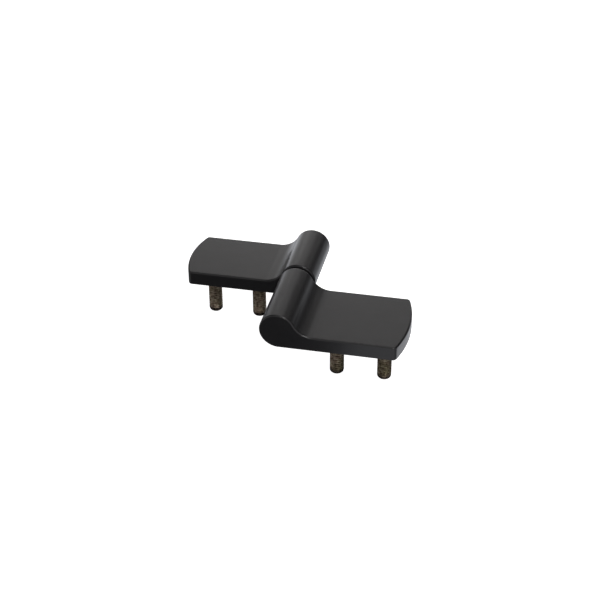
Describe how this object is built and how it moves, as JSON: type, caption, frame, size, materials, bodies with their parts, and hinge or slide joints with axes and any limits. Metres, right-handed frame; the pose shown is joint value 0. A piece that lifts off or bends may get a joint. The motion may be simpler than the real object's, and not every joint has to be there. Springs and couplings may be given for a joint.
{
  "type": "lift-off leaf hinge with studs",
  "caption": "Black die-cast lift-off hinge: two offset leaves turn on a pin, and fixed threaded studs under each leaf fasten it through a panel.",
  "frame": {"origin": "on the frame leaf's mounting face, midway between its two studs", "axes": "+X from the knuckle towards the frame leaf's end, +Y along the pin from the frame half to the door half, +Z away from the panel that the leaves are fixed to; the studs point along -Z"},
  "size_m": [0.1024, 0.0709, 0.037],
  "materials": {
    "black_powder_coat": "satin black powder coat on zinc die casting",
    "stud_steel": "steel with a dull bronze passivated finish",
    "pin_steel": "ground steel",
    "bush_plastic": "natural acetal",
    "washer_plastic": "black nylon"
  },
  "bodies": {
    "frame_side": {"frame_leaf": "black_powder_coat", "frame_stud_inner": "stud_steel", "frame_stud_outer": "stud_steel", "hinge_pin": "pin_steel"},
    "washer_ring": {"thrust_washer": "washer_plastic"},
    "door_side": {"door_leaf": "black_powder_coat", "door_stud_inner": "stud_steel", "door_stud_outer": "stud_steel", "bearing_bush": "bush_plastic"}
  },
  "joints": [
    {"name": "door_swing", "type": "hinge", "parent": "frame_side", "child": "washer_ring", "pos_m": [-0.031, 0.0197, 0.0075], "axis": [0, 1, 0], "range_deg": [0, 180]},
    {"name": "lift_off", "type": "slide", "parent": "washer_ring", "child": "door_side", "axis": [0, 1, 0], "range_m": [0, 0.028]}
  ]
}
